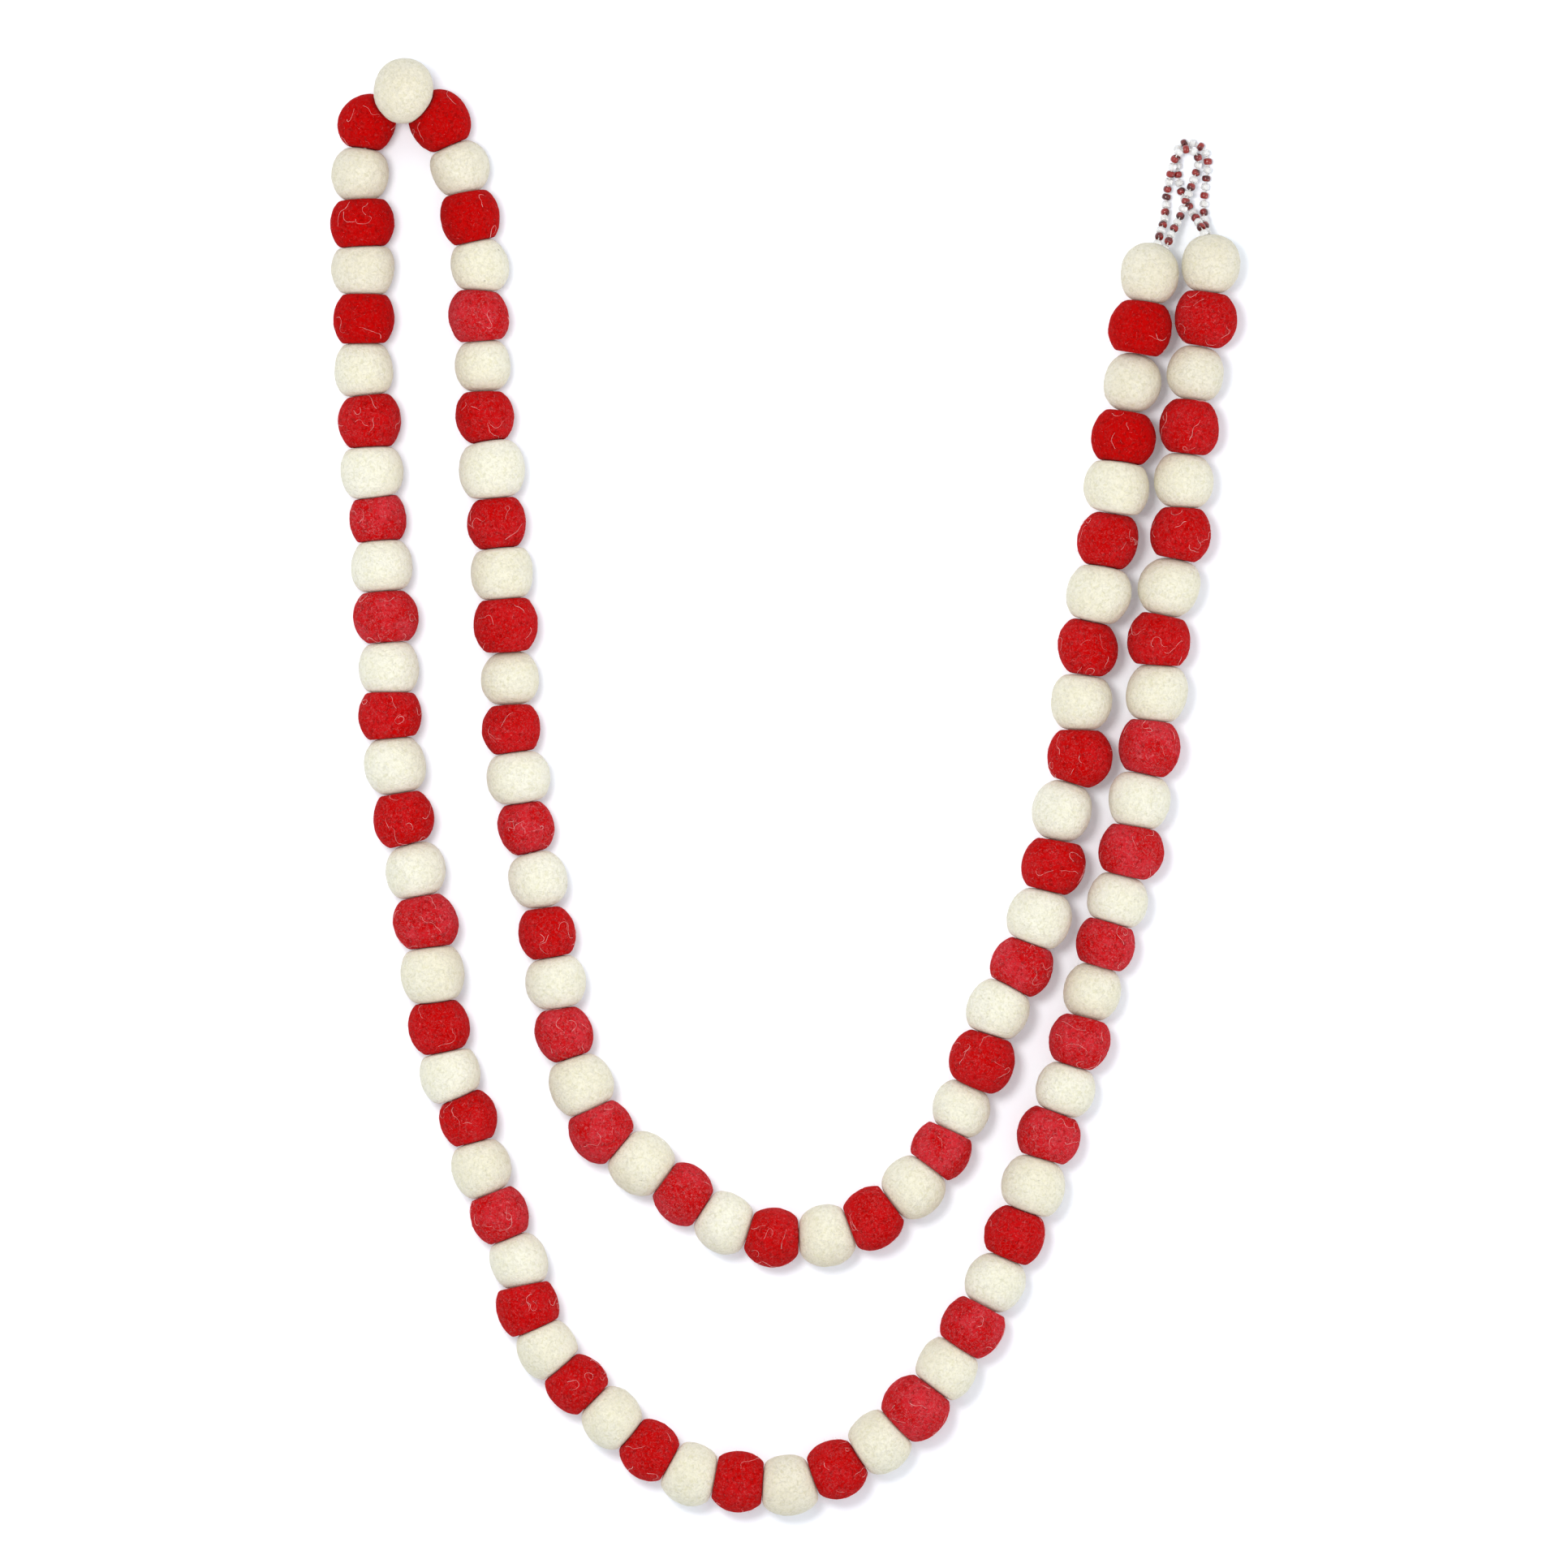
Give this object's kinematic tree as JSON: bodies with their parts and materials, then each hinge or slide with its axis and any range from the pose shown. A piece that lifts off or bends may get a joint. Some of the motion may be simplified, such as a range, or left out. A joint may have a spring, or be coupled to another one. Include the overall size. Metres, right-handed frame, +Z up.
{
  "type": "felt ball garland",
  "caption": "String of wool felt balls in cream and red by turns, laid flat in nested curves, with a loop of seed beads at each end to hang it by.",
  "frame": {"origin": "middle of the laid-out garland's footprint, on the surface it lies on", "axes": "+Y along the two long strands towards the tight turn and the hanging loops, +X to the side of the hanging loops, +Z up from the surface"},
  "size_m": [0.3366, 0.5386, 0.0297],
  "materials": {
    "cream_felt": "matte wool felt",
    "red_felt": "matte wool felt",
    "red_bead_glass": "glossy seed bead",
    "clear_bead_glass": "glossy seed bead",
    "loop_thread": "fine thread"
  },
  "bodies": {
    "root": {"cream_ball_01": "cream_felt", "cream_ball_02": "cream_felt", "cream_ball_03": "cream_felt", "cream_ball_04": "cream_felt", "cream_ball_05": "cream_felt", "cream_ball_06": "cream_felt", "cream_ball_07": "cream_felt", "cream_ball_08": "cream_felt", "cream_ball_09": "cream_felt", "cream_ball_10": "cream_felt", "cream_ball_11": "cream_felt", "cream_ball_12": "cream_felt", "cream_ball_13": "cream_felt", "cream_ball_14": "cream_felt", "cream_ball_15": "cream_felt", "cream_ball_16": "cream_felt", "cream_ball_17": "cream_felt", "cream_ball_18": "cream_felt", "cream_ball_19": "cream_felt", "cream_ball_20": "cream_felt", "cream_ball_21": "cream_felt", "cream_ball_22": "cream_felt", "cream_ball_23": "cream_felt", "cream_ball_24": "cream_felt", "cream_ball_25": "cream_felt", "cream_ball_26": "cream_felt", "cream_ball_27": "cream_felt", "cream_ball_28": "cream_felt", "cream_ball_29": "cream_felt", "cream_ball_30": "cream_felt", "cream_ball_31": "cream_felt", "cream_ball_32": "cream_felt", "cream_ball_33": "cream_felt", "cream_ball_34": "cream_felt", "cream_ball_35": "cream_felt", "cream_ball_36": "cream_felt", "cream_ball_37": "cream_felt", "cream_ball_38": "cream_felt", "cream_ball_39": "cream_felt", "cream_ball_40": "cream_felt", "cream_ball_41": "cream_felt", "cream_ball_42": "cream_felt", "cream_ball_43": "cream_felt", "cream_ball_44": "cream_felt", "cream_ball_45": "cream_felt", "cream_ball_46": "cream_felt", "cream_ball_47": "cream_felt", "cream_ball_48": "cream_felt", "cream_ball_49": "cream_felt", "cream_ball_50": "cream_felt", "cream_ball_51": "cream_felt", "cream_ball_52": "cream_felt", "cream_ball_53": "cream_felt", "red_balls_inner_right": "red_felt", "red_balls_inner_left": "red_felt", "red_balls_outer_left": "red_felt", "red_balls_outer_bottom": "red_felt", "red_balls_outer_right": "red_felt", "hanging_loop_inner": "red_bead_glass", "hanging_loop_outer": "red_bead_glass"}
  },
  "joints": []
}
